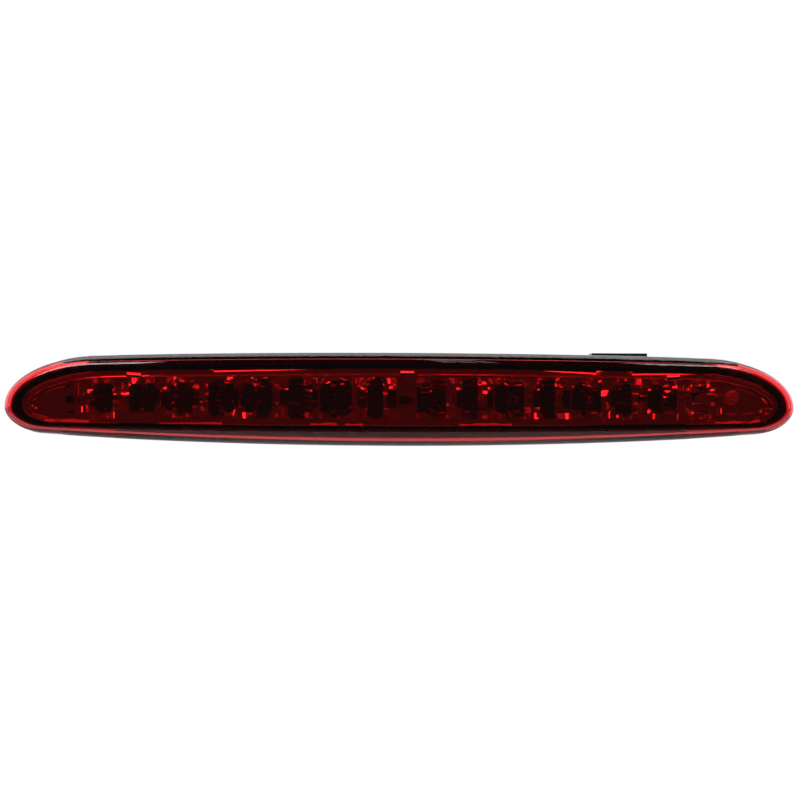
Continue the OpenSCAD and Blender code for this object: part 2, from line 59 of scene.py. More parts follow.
lens_low, lens_high = corners("outer_lens")
unit_low, unit_high = corners("reflector")
optic_high = corners("inner_optic")[1]
led_high = corners("leds")[1]
stud_low, stud_high = corners("mounting_studs")
gasket_low, gasket_high = corners("perimeter_gasket")
seal_low, seal_high = corners("stud_seals")

# ---- driving dimensions of the shapes, in millimetres ------------------------------------------

LENS_WALL = 2.4
UPPER_CORNER, LOWER_CORNER = 40, 18    # how far in from the tips the outline's corners start
EDGE_R = 4.2              # rounding of the lens's front edge, along the top
LOW_EDGE_R = 9.4          # rounding of the lens's front edge, along the bottom
SKIRT_DRAFT = 0.4
LAP = 0.9                 # the lens's front edge laps this far out over the housing's lip
LOW_LAP = 0.8             # the lap along the bottom, as a share of the lap along the top
LIP_AHEAD = 0.34          # how far round the front edge, in millimetres, the lap starts
LIP_FADE_X = 165          # the lap fades to nothing about here, as the housing's lip does
THICK_CORNER = 1.6        # the inner rounding along the top is smaller by this many walls
NOSE_Z = -3.5             # height of the two end tips
TOP_CROWN_R, LOW_CROWN_R = 7000, 2740
FACE_R = 1800             # plan radius of the front face
CROWN_R = 220             # upright radius of the front face
LENS_DEPTH = 34
FOOT_Y = lens_high.y
RIB_X = -145              # upright rib inside the lens
RIB_T = 1.0
RIB_LOW_Z, RIB_TOP_Z, RIB_BACK_Y = 14.0, 18.3, -16.8
STRAIGHT_STEPS = 40       # outline steps along half of the upper or lower edge
CORNER_STEPS = 26         # outline steps round a corner

LED_COUNT = 16
LED_PITCH = 18.6
MIDDLE_GAP = 1.5          # gap between the two middle LEDs, in pitches
LED_Z = 0.6
LED_BASE_H = 2.8
BOARD_FRONT_Y = led_high.y
ROW_HALF = optic_high.x
CELL_H = 19.4
CELL_WALL = 0.7
CELL_RIM = 0.65
FACETS = 7                # facets across and up each cell
BOWL_K = 7                # four times the bowl's focal length
BOWL_HOLE_R = 3.3
BOWL_STEP = 0.6
UNIT_BACK_Y = unit_high.y
LIP_Y = unit_low.y
POCKET_FLOOR_Y = -17
POCKET_WALL = 1.4
WIN_HALF = 180            # half width of the reflector's window
WIN_TOP, WIN_BOTTOM = 13.3, 11.3
WIN_TIP_Z = NOSE_Z + 1
WIN_TOP_R, WIN_LOW_R = 7000, 9000
WIN_CORNER, WIN_LOW_CORNER = 40, 14
RIM_T = 1.2
LOW_REACH = 0.75          # the lower lip hides the clear plate's edge
LEDGE_W = 2.9
BEAD_IN, BEAD_R = 1.2, 0.4    # bead along the upper side of the rim, over the clear plate
TAB_GAP, TAB_W, TAB_H, TAB_T = 128.5, 6.8, 3.2, 0.8
TAB_AHEAD = 2.0           # how far the tabs stand in front of the rim's lip
# short ramps along the rim's lip: from X, to X, reach inwards at each end
TOP_RAMPS = [(-92, -34, 0.2, -0.8), (57, 93, -0.9, 0.7), (108, 145, 0.6, -0.8)]
LOW_RAMPS = [(-170, -164, 0.3, -0.6), (-158, -150, 0.5, -0.6), (-118, -90, -0.7, -0.1),
             (-44, -37, -0.8, 0.3), (-29, -23, 0.3, -0.8), (27, 35, -0.8, 0.3),
             (41, 48, 0.3, -0.8), (151, 161, -0.8, 0.6), (166, 171, -0.5, 0.3)]
FLUTES_PER_LED = 2.5
FLUTE_H = 0.8
OPTIC_T = 1.2
SEAT_Y = optic_high.y + 0.02 - ROW_HALF ** 2 / (2 * FACE_R)

GASKET_IN, GASKET_W = 4.2, 6.4
COLLAR_R = 6
STUD_X = (stud_high.x - stud_low.x) / 2 - 4.8
STUD_R = 2.5
STUD_SHOULDER_R, STUD_HEAD_R = 3.2, 4.8
STUD_HEAD_Y = -4.6
STUD_END_Y = stud_high.y
THREAD_START_Y = 1.2
THREAD_PITCH = 0.8


# ---- outlines ----------------------------------------------------------------------------------

def half_outline(half, top, bottom, tip, top_r, low_r, up_c, low_c):
    """Right half of a boat-shaped outline in X and Z, from the bottom centre to the top centre."""
    def low(x):
        return -bottom + x * x / (2 * low_r)

    def high(x):
        return top - x * x / (2 * top_r)

    points = []
    for i in range(STRAIGHT_STEPS + 1):
        x = (half - low_c) * i / STRAIGHT_STEPS
        points.append((x, low(x)))
    for j in range(1, CORNER_STEPS + 1):
        a = math.pi / 2 * j / CORNER_STEPS
        x = half - low_c + low_c * math.sin(a)
        points.append((x, tip + (low(x) - tip) * math.cos(a)))
    for j in range(CORNER_STEPS - 1, -1, -1):
        a = math.pi / 2 * j / CORNER_STEPS
        x = half - up_c + up_c * math.sin(a)
        points.append((x, tip + (high(x) - tip) * math.cos(a)))
    for i in range(STRAIGHT_STEPS - 1, -1, -1):
        x = (half - up_c) * i / STRAIGHT_STEPS
        points.append((x, high(x)))
    return points


def both_halves(points):
    return points + [(-x, z) for x, z in points[-2:0:-1]]


@functools.lru_cache(None)
def lamp_outline(d):
    """Outline of the lens foot, moved in by d."""
    return both_halves(half_outline(
        lens_high.x - d, lens_high.z - d, -lens_low.z - d, NOSE_Z, TOP_CROWN_R, LOW_CROWN_R,
        UPPER_CORNER - 0.8 * d, max(LOWER_CORNER - 0.8 * d, 2)))


@functools.lru_cache(None)
def window_outline(d):
    """Outline of the reflector's window, moved in by d."""
    return both_halves(half_outline(
        WIN_HALF - d, WIN_TOP - d, WIN_BOTTOM - d, WIN_TIP_Z, WIN_TOP_R, WIN_LOW_R,
        WIN_CORNER - 0.6 * d, WIN_LOW_CORNER - 0.6 * d))


def face_y(x, z):
    """Front face of the lens: swept back towards the ends and crowned upright."""
    return -LENS_DEPTH + x * x / (2 * FACE_R) + z * z / (2 * CROWN_R)


def sweep_y(x):
    return x * x / (2 * FACE_R)


# ---- mesh helpers ------------------------------------------------------------------------------

def add_mesh(name, shape, material, sharp_deg=35, tidy=True):
    """A mesh object from points in millimetres, smooth except at edges sharper than sharp_deg."""
    points, faces = shape
    mesh = bpy.data.meshes.new(name)
    mesh.from_pydata([Vector(p) * MM for p in points], [], faces)
    mesh.validate()
    if tidy:
        weld(mesh)
    mesh.materials.append(material)
    mesh.shade_smooth()
    mesh.set_sharp_from_angle(angle=math.radians(sharp_deg))
    piece = bpy.data.objects.new(name, mesh)
    bpy.context.scene.collection.objects.link(piece)
    return piece


def weld(mesh):
    """Joins points that coincide and turns every face outwards."""
    work = bmesh.new()
    work.from_mesh(mesh)
    bmesh.ops.remove_doubles(work, verts=work.verts, dist=2e-6)
    bmesh.ops.dissolve_degenerate(work, edges=work.edges, dist=1e-6)
    bmesh.ops.recalc_face_normals(work, faces=work.faces)
    work.to_mesh(mesh)
    work.free()


def settle(piece, body, slot, *replaced):
    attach(piece, body)
    if replaced:
        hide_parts(*replaced)


def join_shapes(shapes):
    points, faces = [], []
    for some_points, some_faces in shapes:
        base = len(points)
        points += some_points
        faces += [tuple(base + i for i in face) for face in some_faces]
    return points, faces


def loft(rings, ends=True, around=False):
    """Closed skin over rings of equal length: capped at both ends, or running round to its start."""
    n, count = len(rings[0]), len(rings)
    points = [p for ring in rings for p in ring]
    faces = []
    for k in range(count if around else count - 1):
        for i in range(n):
            a, b = k * n + i, k * n + (i + 1) % n
            c, d = (k + 1) % count * n + (i + 1) % n, (k + 1) % count * n + i
            faces.append((a, b, c, d))
    if ends and not around:
        faces.append(tuple(range(n))[::-1])
        faces.append(tuple(range((count - 1) * n, count * n)))
    return points, faces


def turned(profile, x, z, steps=48, around=False):
    """Skin of revolution about an axis along Y through x, z; the profile is a list of (r, y)."""
    rings = []
    for r, y in profile:
        ring = []
        for i in range(steps):
            a = 2 * math.pi * i / steps
            ring.append((x + r * math.cos(a), y, z + r * math.sin(a)))
        rings.append(ring)
    return loft(rings, False, around)


def soft_box(low, high, round_r):
    """A box with its twelve edges rounded."""
    work = bmesh.new()
    bmesh.ops.create_cube(work, size=1)
    for vert in work.verts:
        for axis in range(3):
            vert.co[axis] = low[axis] if vert.co[axis] < 0 else high[axis]
    bmesh.ops.bevel(work, geom=work.edges, offset=round_r, segments=3, profile=0.5, affect="EDGES")
    work.verts.index_update()
    points = [tuple(v.co) for v in work.verts]
    faces = [tuple(v.index for v in face.verts) for face in work.faces]
    work.free()
    return points, faces


def arc(x, y, radius, start_deg, end_deg, steps):
    points = []
    for i in range(steps + 1):
        a = math.radians(start_deg + (end_deg - start_deg) * i / steps)
        points.append((x + radius * math.cos(a), y + radius * math.sin(a)))
    return points


def bridge(inner, outer, center):
    """Triangles between two loops that go round a centre the same way, as index pairs."""
    def turn(p):
        return math.atan2(p[2] - center[1], p[0] - center[0]) % (2 * math.pi)
    first = min(range(len(inner)), key=lambda i: turn(inner[i]))
    other = min(range(len(outer)), key=lambda i: turn(outer[i]))
    a = [(first + k) % len(inner) for k in range(len(inner))]
    b = [(other + k) % len(outer) for k in range(len(outer))]
    faces, i, j = [], 0, 0
    while i < len(a) or j < len(b):
        next_a = turn(inner[a[i + 1]]) if i + 1 < len(a) else 2 * math.pi + turn(inner[a[0]])
        next_b = turn(outer[b[j + 1]]) if j + 1 < len(b) else 2 * math.pi + turn(outer[b[0]])
        here_a, here_b = ("a", a[i % len(a)]), ("b", b[j % len(b)])
        if j == len(b) or (i < len(a) and next_a <= next_b):
            i += 1
            faces.append((here_a, ("a", a[i % len(a)]), here_b))
        else:
            j += 1
            faces.append((here_a, ("b", b[j % len(b)]), here_b))
    return faces


def ring_faces(n, count, base=0, flip=False):
    """Quads between consecutive closed rings of n points each."""
    faces = []
    for k in range(count - 1):
        for i in range(n):
            a = (base + k) * n + i
            b = (base + k) * n + (i + 1) % n
            quad = (a, b, b + n, a + n)
            faces.append(quad[::-1] if flip else quad)
    return faces


def cap_faces(n, ring, flip=False):
    """Closes a ring with a strip between its lower and its upper half."""
    m = STRAIGHT_STEPS + CORNER_STEPS
    o = ring * n
    faces = []
    for k in range(-m, m):
        low_a, low_b = k % n, (k + 1) % n
        up_a, up_b = (2 * m - k) % n, (2 * m - k - 1) % n
        face = []
        for i in (low_a, low_b, up_b, up_a):
            if o + i not in face:
                face.append(o + i)
        faces.append(tuple(face[::-1] if flip else face))
    return faces


# ---- outer lens --------------------------------------------------------------------------------

def edge_radius(i):
    """Rounding at outline point i. Along the bottom it narrows as the outline rises to the ends."""
    m = STRAIGHT_STEPS + CORNER_STEPS
    k = i if i <= 2 * m else 4 * m - i
    x = (lens_high.x - LOWER_CORNER) * min(k / STRAIGHT_STEPS, 1)
    return max(EDGE_R, LOW_EDGE_R - x * x / (2 * LOW_CROWN_R)) if k < m else EDGE_R


def lip_rise(x, z):
    """How far the lens's front laps out over the housing's lip, which thins towards the ends."""
    side = 1 if z > NOSE_Z else -LOW_LAP
    return LAP * side * max(0.0, 1 - (abs(x) / LIP_FADE_X) ** 10)


def inner_cut(i):
    """How much smaller the inner rounding is, in walls: the corner along the top is thick."""
    top = 2 * (STRAIGHT_STEPS + CORNER_STEPS)
    return THICK_CORNER if abs(i - top) <= STRAIGHT_STEPS else 1.0


def lens_skin(inset, depth):
    """Rings of one surface of the lens, from its foot, round the front edge and in to the middle."""
    round_steps, inner_steps = 12, 5
    start = lamp_outline(14)
    n = len(start)
    rings = [[(x, FOOT_Y, z) for x, z in lamp_outline(inset)]]
    # ways round the edge as (length along it or None, angle, lap): two rings stand where the lap starts
    turns = [(None, 0, 0), (LIP_AHEAD, None, 0), (LIP_AHEAD + 0.01, None, 1)]
    turns += [(None, math.pi / 2 * k / round_steps, 1) for k in range(1, round_steps + 1)]
    for ahead, turn, lap in turns:
        ring = []
        for i in range(n):
            r = edge_radius(i) - depth * inner_cut(i)
            a = turn if ahead is None else math.asin(ahead / edge_radius(i))
            x, z = lamp_outline(inset + SKIRT_DRAFT + r * (1 - math.cos(a)))[i]
            y = face_y(x, z) + depth + r * (1 - math.sin(a))
            if depth == 0:
                z += lap * lip_rise(x, z) * math.cos(a)
            ring.append((x, y, z))
        rings.append(ring)
    for k in range(inner_steps + 1):
        t = 0.96 * k / inner_steps
        ring = []
        for i in range(n):
            x, z = (p + (q - p) * t / 2 for p, q in zip(start[i], start[(n // 2 - i) % n]))
            ring.append((x, face_y(x, z) + depth, z))
        rings.append(ring)
    return rings


def make_lens(material):
    outer = lens_skin(0, 0)
    inner = lens_skin(LENS_WALL, LENS_WALL)
    n, count = len(outer[0]), len(outer)
    points = [p for ring in outer + inner for p in ring]
    faces = ring_faces(n, count) + cap_faces(n, count - 1)
    faces += ring_faces(n, count, count, True) + cap_faces(n, 2 * count - 1, True)
    for i in range(n):
        j = (i + 1) % n
        faces.append((i, count * n + i, count * n + j, j))
    lens = add_mesh("lens_shell", (points, faces), material, 50)
    unite(lens, make_lens_rib(material))
    return lens


def make_lens_rib(material):
    """Short upright rib inside the upper edge, sunk into the lens so that it can be united."""
    front = face_y(RIB_X, RIB_TOP_Z) + LENS_WALL - 0.8
    low = (RIB_X - RIB_T / 2, front, RIB_LOW_Z)
    high = (RIB_X + RIB_T / 2, RIB_BACK_Y, RIB_TOP_Z)
    return add_mesh("lens_rib", soft_box(low, high, 0.12), material)


def unite(piece, extra):
    """Boolean union of a second mesh into a piece."""
    cut = piece.modifiers.new("union", "BOOLEAN")
    cut.operation = "UNION"
    cut.solver = "EXACT"
    cut.object = extra
    bpy.context.view_layer.update()
    evaluated = piece.evaluated_get(bpy.context.evaluated_depsgraph_get())
    mesh = bpy.data.meshes.new_from_object(evaluated)
    piece.modifiers.clear()
    mesh.name = piece.name
    piece.data = mesh
    bpy.data.objects.remove(extra)
    mesh.shade_smooth()
    mesh.set_sharp_from_angle(angle=math.radians(50))


# ---- reflector ---------------------------------------------------------------------------------

def led_places():
    group = LED_COUNT // 2
    for k in range(group):
        yield -LED_PITCH * (MIDDLE_GAP / 2 + group - 1 - k)
    for k in range(group):
        yield LED_PITCH * (MIDDLE_GAP / 2 + k)


def seat(x):
    return SEAT_Y + sweep_y(x)


def bowl_y(x, z):
    """Paraboloid round the LED's axis."""
    return UNIT_BACK_Y - BOWL_STEP - (x * x + z * z - BOWL_HOLE_R ** 2) / BOWL_K


def cell_shape(cx):
    """One cell: a block with a bowl of flat facets, open at the back for the LED."""
    half_x = (LED_PITCH - CELL_WALL) / 2
    half_z = CELL_H / 2
    n = FACETS
    xs = [-half_x + 2 * half_x * i / n for i in range(n + 1)]
    zs = [-half_z + 2 * half_z * j / n for j in range(n + 1)]
    points = []
    index = {}
    for i in range(n + 1):
        for j in range(n + 1):
            index[i, j] = len(points)
            y = max(bowl_y(xs[i], zs[j]), seat(cx + xs[i]))
            points.append((cx + xs[i], y, LED_Z + zs[j]))
    hole = range((n - 3) // 2, (n + 3) // 2)
    faces = []
    for i in range(n):
        for j in range(n):
            if i not in hole or j not in hole:
                faces.append((index[i, j], index[i + 1, j], index[i + 1, j + 1], index[i, j + 1]))

    def frame_loop(lo, hi):
        """Grid places round a square frame, counter-clockwise seen from the front."""
        side = hi - lo
        loop = [(lo + k, lo) for k in range(side)] + [(hi, lo + k) for k in range(side)]
        return loop + [(hi - k, hi) for k in range(side)] + [(lo, hi - k) for k in range(side)]

    def add_loop(loop):
        base = len(points)
        points.extend(loop)
        return list(range(base, base + len(loop)))

    def add_bridge(inner, outer):
        loops = {"a": inner, "b": outer}
        for face in bridge([points[i] for i in inner], [points[i] for i in outer], (cx, LED_Z)):
            faces.append(tuple(loops[side][i] for side, i in face))

    edge = [index[p] for p in frame_loop(0, n)]
    throat = [index[p] for p in frame_loop(hole[0], hole[-1] + 1)]
    top = add_loop([(points[i][0], seat(points[i][0]), points[i][2]) for i in edge])
    grow_x = LED_PITCH / 2 / half_x
    grow_z = (half_z + CELL_RIM) / half_z
    outside = [(cx + (points[i][0] - cx) * grow_x, LED_Z + (points[i][2] - LED_Z) * grow_z) for i in edge]
    front = add_loop([(x, seat(x), z) for x, z in outside])
    back = add_loop([(x, UNIT_BACK_Y, z) for x, z in outside])
    circle = [(cx + x, LED_Z + z) for x, z in arc(0, 0, BOWL_HOLE_R, 0, 345, 23)]
    bore = add_loop([(x, UNIT_BACK_Y - BOWL_STEP, z) for x, z in circle])
    bore_back = add_loop([(x, UNIT_BACK_Y, z) for x, z in circle])
    for loop_a, loop_b in ((edge, top), (top, front), (front, back), (bore, bore_back)):
        for k in range(len(loop_a)):
            m = (k + 1) % len(loop_a)
            faces.append((loop_a[k], loop_a[m], loop_b[m], loop_b[k]))
    add_bridge(bore, throat)
    add_bridge(bore_back, back)
    used = {i for face in faces for i in face}
    keep = {old: new for new, old in enumerate(sorted(used))}
    return [points[i] for i in sorted(used)], [tuple(keep[i] for i in face) for face in faces]


def rect(x0, x1, z0, z1, y_of):
    return [(x, y_of(x), z) for x, z in ((x0, z0), (x1, z0), (x1, z1), (x0, z1))]


def blank_shape():
    """Blank column in the middle, a plain cup with its floor at the pockets' level."""
    outer = LED_PITCH * (MIDDLE_GAP - 1) / 2
    inner = outer - CELL_WALL
    z0, z1 = LED_Z - CELL_H / 2, LED_Z + CELL_H / 2
    back = POCKET_FLOOR_Y + POCKET_WALL
    rings = [rect(-outer, outer, z0 - CELL_RIM, z1 + CELL_RIM, lambda x: back),
             rect(-outer, outer, z0 - CELL_RIM, z1 + CELL_RIM, seat),
             rect(-inner, inner, z0, z1, seat),
             rect(-inner + 0.3, inner - 0.3, z0 + 0.4, z1 - 0.4, lambda x: POCKET_FLOOR_Y)]
    return loft(rings)


def ledge_shape(upper):
    """Flat ledge between the cells and the rim, swept with the front."""
    steps = 60
    half = ROW_HALF + 1.2
    rings = []
    for k in range(steps + 1):
        x = -half + 2 * half * k / steps
        z0 = LED_Z + (CELL_H / 2 + 0.3) * (1 if upper else -1)
        z1 = window_z(x, -0.4, upper)
        y = seat(x)
        rings.append([(x, y, z0), (x, y, z1), (x, y + 1.3, z1), (x, y + 1.3, z0)])
    return loft(rings)


def window_z(x, d, upper):
    """Height of the window's upper or lower edge at x, moved in by d."""
    half = WIN_HALF - d
    corner = (WIN_CORNER if upper else WIN_LOW_CORNER) - 0.6 * d
    start = half - corner
    if upper:
        base = WIN_TOP - d - x * x / (2 * WIN_TOP_R)
    else:
        base = -(WIN_BOTTOM - d) + x * x / (2 * WIN_LOW_R)
    t = min(max((abs(x) - start) / corner, 0), 1)
    return WIN_TIP_Z + (base - WIN_TIP_Z) * math.sqrt(1 - t * t)


def pocket_shape(side):
    """Cup at one end of the row: ledge, wall and flat floor."""
    steps = 28

    def loop(d, x0, y_of):
        tip = WIN_HALF - d
        xs = [x0 + (tip - x0) * math.sin(math.pi / 2 * k / steps) for k in range(steps + 1)]
        lower = [(side * x, y_of(x), window_z(x, d, False)) for x in xs]
        upper = [(side * x, y_of(x), window_z(x, d, True)) for x in xs[-2::-1]]
        return lower + upper

    back = POCKET_FLOOR_Y + POCKET_WALL
    rings = [loop(-0.3, ROW_HALF, lambda x: back), loop(-0.3, ROW_HALF, seat),
             loop(LEDGE_W, ROW_HALF + 1.2, seat),
             loop(LEDGE_W + 0.5, ROW_HALF + 1.5, lambda x: POCKET_FLOOR_Y - 0.6),
             loop(LEDGE_W + 1.1, ROW_HALF + 2.1, lambda x: POCKET_FLOOR_Y)]
    return loft(rings)


def lip_form(x, upper):
    """Crest of the rim's lip at x, how far its outer side falls back, and how far it reaches inwards."""
    for x0, x1, crest0, crest1 in (TOP_RAMPS if upper else LOW_RAMPS):
        if x0 <= x <= x1:
            crest = crest0 + (crest1 - crest0) * (x - x0) / (x1 - x0)
            return crest, crest + RIM_T, max(crest + 0.12, 0 if upper else LOW_REACH)
    return -0.12, 0.1, 0 if upper else LOW_REACH


def rim_shape():
    """Rim round the window, with its lip over the edge of the clear plate."""
    base = window_outline(0)
    rings = [[] for _ in range(19)]
    for i, (px, pz) in enumerate(base):
        upper = pz > WIN_TIP_Z
        crest, fall, reach = lip_form(px, upper)
        lip = LIP_Y + sweep_y(px)
        section = [(-RIM_T, UNIT_BACK_Y), (-RIM_T, lip + fall + 0.2), (-RIM_T + 0.1, lip + fall),
                   (crest, lip), (reach - 0.05, lip + 0.03), (reach, lip + 0.12)]
        if upper:
            start = max(BEAD_IN, reach + 0.05)
            section += [(reach, lip + 0.6)]
            section += arc(start + BEAD_R, lip + 0.6, BEAD_R, 180, 360, 8)
            section += [(start + 2 * BEAD_R, lip + 0.75), (0, lip + 0.78)]
        else:
            section += [(reach, lip + 0.7), (reach * 0.98, lip + 0.8)]
            section += [(0, lip + 0.9 + 0.02 * k) for k in range(10)]
        section.append((0, UNIT_BACK_Y))
        for ring, (d, y) in zip(rings, section):
            x, z = window_outline(round(d, 3))[i]
            ring.append((x, y, z))
    return loft(rings, around=True)


def tab_shape(x):
    """Snap tab over the front of the clear plate, its upper face sloping back to the rim."""
    z_top = window_z(x, -0.4, True)
    lip = LIP_Y + sweep_y(x)
    outline = [(lip + 0.1, z_top - TAB_H), (lip - TAB_AHEAD, z_top - TAB_H + 0.5),
               (lip - TAB_AHEAD, z_top - TAB_H + 0.8), (lip + 0.3, z_top - 0.1),
               (lip + 1.2, z_top), (lip + TAB_T, z_top - TAB_H)]
    rings = []
    for dx, shrink in ((-TAB_W / 2, 0.15), (-TAB_W / 2 + 0.15, 0), (TAB_W / 2 - 0.15, 0), (TAB_W / 2, 0.15)):
        mid_y = sum(p[0] for p in outline) / len(outline)
        mid_z = sum(p[1] for p in outline) / len(outline)
        rings.append([(x + dx, y + (mid_y - y) * shrink, z + (mid_z - z) * shrink) for y, z in outline])
    return loft(rings)


def make_reflector(material):
    shapes = [rim_shape(), ledge_shape(True), ledge_shape(False), blank_shape()]
    shapes += [pocket_shape(side) for side in (-1, 1)]
    shapes += [cell_shape(x) for x in led_places()]
    shapes += [tab_shape(k * TAB_GAP) for k in (-1, 0, 1)]
    return add_mesh("reflector_shell", join_shapes(shapes), material, 9)


# ---- clear plate and LEDs ----------------------------------------------------------------------

def make_optic(material):
    """Clear plate with a row of pillow flutes on its front, meeting in sharp valleys."""
    columns = round(2 * ROW_HALF / LED_PITCH * FLUTES_PER_LED)
    pitch = 2 * ROW_HALF / columns
    steps = 8
    edge = 0.25
    rings = []
    for k in range(columns * steps + 1):
        x = -ROW_HALF + pitch * k / steps
        u = k % steps / steps
        front = optic_front(x) - FLUTE_H * 4 * u * (1 - u)
        back = seat(x) - 0.02
        z0, z1 = window_z(x, 0.4, False), window_z(x, 0.4, True)
        rings.append([(x, front, z0 + edge), (x, front, z1 - edge), (x, front + edge, z1),
                      (x, back, z1), (x, back, z0), (x, front + edge, z0)])
    return add_mesh("fluted_plate", loft(rings), material, 20)


def optic_front(x):
    return seat(x) - 0.02 - OPTIC_T


def make_leds(package_look, dome_look):
    """LEDs: moulded packages with a raised collar, and their clear domes."""
    packages, domes = [], []
    top = BOARD_FRONT_Y - LED_BASE_H
    for x in led_places():
        packages.append(soft_box((x - 3.8, top, LED_Z - 3.8), (x + 3.8, BOARD_FRONT_Y, LED_Z + 3.8), 0.35))
        collar = [(0, top + 0.5), (2.95, top + 0.5), (2.95, top - 0.28), (2.8, top - 0.4), (2.55, top - 0.4),
                  (2.4, top - 0.1), (1.2, top + 0.05), (1.1, top - 0.25), (0, top - 0.25)]
        packages.append(turned(collar, x, LED_Z))
        dome = [(0, top - 0.3), (1.5, top - 0.3), (2.36, top - 0.3), (2.42, top - 0.6)]
        dome += arc(0, top - 0.6, 2.5, 0, -90, 10)[1:]
        domes.append(turned(dome, x, LED_Z))
    return (add_mesh("led_packages", join_shapes(packages), package_look, 35),
            add_mesh("led_domes", join_shapes(domes), dome_look, 35))


# ---- mounting side -----------------------------------------------------------------------------

def make_gasket(material):
    """Foam ring between the housing and the body panel, with rounded edges."""
    outer_d, inner_d = GASKET_IN, GASKET_IN + GASKET_W
    y0, y1 = gasket_high.y, gasket_low.y
    r = 0.7
    section = [(outer_d + r - dx, y0 - r + dy) for dx, dy in arc(0, 0, r, 90, 0, 5)]
    section += [(outer_d, (y0 + y1) / 2)]
    section += [(outer_d + r - dx, y1 + r + dy) for dx, dy in arc(0, 0, r, 0, -90, 5)]
    section += [(inner_d - r + dx, y1 + r + dy) for dx, dy in arc(0, 0, r, -90, 0, 5)]
    section += [(inner_d - r + dx, y0 - r + dy) for dx, dy in arc(0, 0, r, 0, 90, 5)]
    rings = [[(x, y, z) for x, z in lamp_outline(round(d, 4))] for d, y in section]
    return add_mesh("foam_gasket", loft(rings, around=True), material, 50)


def make_stud_seals(material):
    y0, y1 = seal_high.y, seal_low.y
    r0, r1 = COLLAR_R, (seal_high.z - seal_low.z) / 2
    e = 0.5
    section = [(r0, y0 - e)] + [(r0 + e + dx, y0 - e + dy) for dx, dy in arc(0, 0, e, 180, 90, 4)]
    section += [(r1 - e + dx, y0 - e + dy) for dx, dy in arc(0, 0, e, 90, 0, 4)]
    section += [(r1 - e + dx, y1 + e + dy) for dx, dy in arc(0, 0, e, 0, -90, 4)]
    section += [(r0 + e + dx, y1 + e + dy) for dx, dy in arc(0, 0, e, -90, -180, 4)]
    shapes = [turned(section, side * STUD_X, 0, 64, True) for side in (-1, 1)]
    return add_mesh("stud_foam_rings", join_shapes(shapes), material, 50)


def threaded_stud(x):
    """M5 stud: a helical thread from its chamfered end down to a plain neck, shoulder and head."""
    turns, steps, per_turn = int((STUD_END_Y - THREAD_START_Y) / THREAD_PITCH), 40, 8
    depth = 0.45
    rings = []
    total = turns * per_turn
    for k in range(total + 1):
        y = THREAD_START_Y + (STUD_END_Y - THREAD_START_Y) * k / total
        ring = []
        for i in range(steps):
            a = 2 * math.pi * i / steps
            phase = (k / per_turn - i / steps) % 1
            groove = 1 - min(abs(phase - 0.5) / 0.42, 1)
            fade = min((y - THREAD_START_Y) / 0.8, (STUD_END_Y - y) / 0.4, 1)
            chamfer = max(0, 0.7 - (STUD_END_Y - y)) * 0.8
            r = STUD_R - depth * groove * max(fade, 0) - chamfer
            ring.append((x + r * math.cos(a), y, r * math.sin(a)))
        rings.append(ring)
    neck = [(STUD_R, 0.3), (STUD_R + 0.1, 0.0), (STUD_SHOULDER_R, -0.1), (STUD_SHOULDER_R, STUD_HEAD_Y),
            (STUD_HEAD_R, STUD_HEAD_Y), (STUD_HEAD_R, stud_low.y)]
    turned_by = [2 * math.pi * i / steps for i in range(steps)]
    for r, y in neck:
        rings.insert(0, [(x + r * math.cos(a), y, r * math.sin(a)) for a in turned_by])
    return loft(rings)


def make_studs(material):
    shapes = [threaded_stud(side * STUD_X) for side in (-1, 1)]
    return add_mesh("threaded_studs", join_shapes(shapes), material, 40)


# ---- CAD nodes that stay: edges softened, then a material of their own -------------------------

def soften(node, width, material):
    """A CAD node's material and, given a width in millimetres, small rounded edges.

    Flat triangles are merged first, and the shading follows the larger faces.
    """
    piece = NODES[node]
    piece.data.materials.clear()
    piece.data.materials.append(material)
    if width:
        join = piece.modifiers.new("join", "WELD")
        join.merge_threshold = 2e-6
        flat = piece.modifiers.new("flat", "DECIMATE")
        flat.decimate_type = "DISSOLVE"
        flat.angle_limit = math.radians(0.05)
        edge = piece.modifiers.new("edge", "BEVEL")
        edge.width = width * MM
        edge.segments = 2
        edge.limit_method = "ANGLE"
        edge.angle_limit = math.radians(40)
        edge.harden_normals = False
        edge.use_clamp_overlap = True
        shade = piece.modifiers.new("shade", "WEIGHTED_NORMAL")
        shade.mode = "FACE_AREA"
        shade.keep_sharp = True


# ---- materials ---------------------------------------------------------------------------------

def new_material(name, color, roughness, metallic=0.0, **sockets):
    """A Principled material, and the pieces needed to add to it."""
    material = bpy.data.materials.new(name)
    material.use_nodes = True
    tree = material.node_tree
    shader = tree.nodes["Principled BSDF"]
    shader.inputs["Base Color"].default_value = (*color, 1)
    shader.inputs["Roughness"].default_value = roughness
    shader.inputs["Metallic"].default_value = metallic
    for key, value in sockets.items():
        shader.inputs[key.replace("_", " ")].default_value = value
    return material, tree, shader


def surface_noise(tree, scale, detail=4.0, stretch=(1, 1, 1)):
    """Noise in the object's own space; scale is in features per metre."""
    coords = tree.nodes.new("ShaderNodeTexCoord")
    mapping = tree.nodes.new("ShaderNodeMapping")
    mapping.inputs["Scale"].default_value = stretch
    noise = tree.nodes.new("ShaderNodeTexNoise")
    noise.inputs["Scale"].default_value = scale
    noise.inputs["Detail"].default_value = detail
    tree.links.new(coords.outputs["Object"], mapping.inputs["Vector"])
    tree.links.new(mapping.outputs["Vector"], noise.inputs["Vector"])
    return noise.outputs["Fac"]


def surface_cells(tree, scale):
    coords = tree.nodes.new("ShaderNodeTexCoord")
    cells = tree.nodes.new("ShaderNodeTexVoronoi")
    cells.inputs["Scale"].default_value = scale
    tree.links.new(coords.outputs["Object"], cells.inputs["Vector"])
    return cells.outputs["Distance"]


